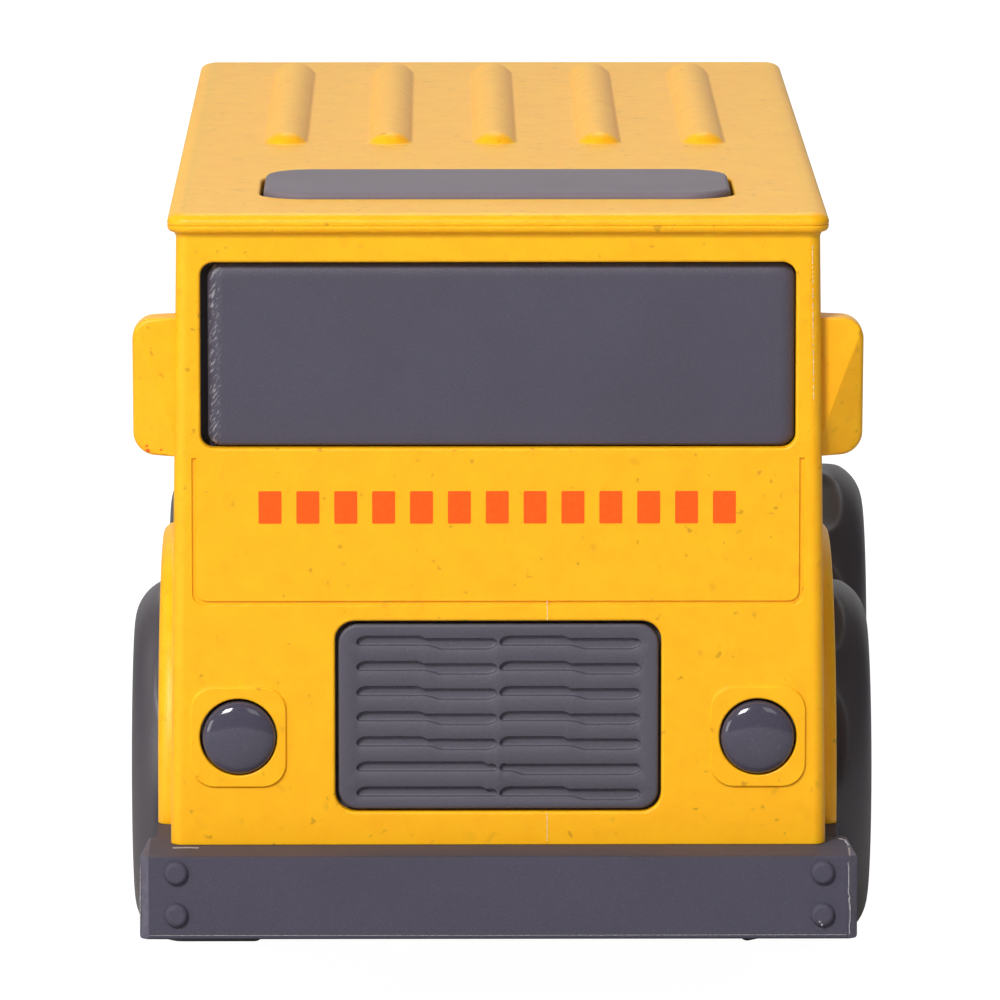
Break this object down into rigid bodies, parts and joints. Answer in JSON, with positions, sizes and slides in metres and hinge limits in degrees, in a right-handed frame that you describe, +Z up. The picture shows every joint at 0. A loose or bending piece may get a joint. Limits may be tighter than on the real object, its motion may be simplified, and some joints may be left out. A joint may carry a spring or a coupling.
{
  "type": "toy bus",
  "caption": "Boxy toy bus with a ribbed roof, dark window panels, a slotted grille, round lamps, bumpers at both ends and four wheels on two free-rolling axles.",
  "frame": {"origin": "on the floor, at the middle of the bounding box; the body's middle plane is at x = -2.0 mm, because both axles stand off to +X in their side play", "axes": "+Z up, the bus faces -Y, its own left side is +X"},
  "size_m": [0.0794, 0.1596, 0.0821],
  "materials": {
    "yellow_plastic": "satin moulded plastic with sparse plant-fibre flecks",
    "grey_plastic": "fine-grained matt moulding",
    "lamp_plastic": "polished",
    "tyre_plastic": "smooth satin",
    "hub_plastic": "satin",
    "steel": "bright drawn rod and plated screws"
  },
  "bodies": {
    "bus": {"body_shell": "yellow_plastic", "windscreen": "grey_plastic", "rear_window": "grey_plastic", "left_windows": "grey_plastic", "right_windows": "grey_plastic", "roof_hatch": "grey_plastic", "grille": "grey_plastic", "headlight_left": "lamp_plastic", "headlight_right": "lamp_plastic", "tail_light_left": "lamp_plastic", "tail_light_right": "lamp_plastic", "chassis": "grey_plastic", "front_axle_cover": "grey_plastic", "rear_axle_cover": "grey_plastic", "body_screws": "steel", "cover_screws": "steel"},
    "front_wheel_set": {"front_axle": "steel", "tyre_front_left": "tyre_plastic", "tyre_front_right": "tyre_plastic", "hub_front_left": "hub_plastic", "hub_front_right": "hub_plastic"},
    "rear_wheel_set": {"rear_axle": "steel", "tyre_rear_left": "tyre_plastic", "tyre_rear_right": "tyre_plastic", "hub_rear_left": "hub_plastic", "hub_rear_right": "hub_plastic"}
  },
  "joints": [
    {"name": "front_axle_spin", "type": "hinge", "parent": "bus", "child": "front_wheel_set", "pos_m": [-0.00203, -0.0366, 0.0191], "axis": [1, 0, 0], "continuous": true},
    {"name": "rear_axle_spin", "type": "hinge", "parent": "bus", "child": "rear_wheel_set", "pos_m": [-0.00203, 0.047, 0.0191], "axis": [1, 0, 0], "continuous": true}
  ]
}
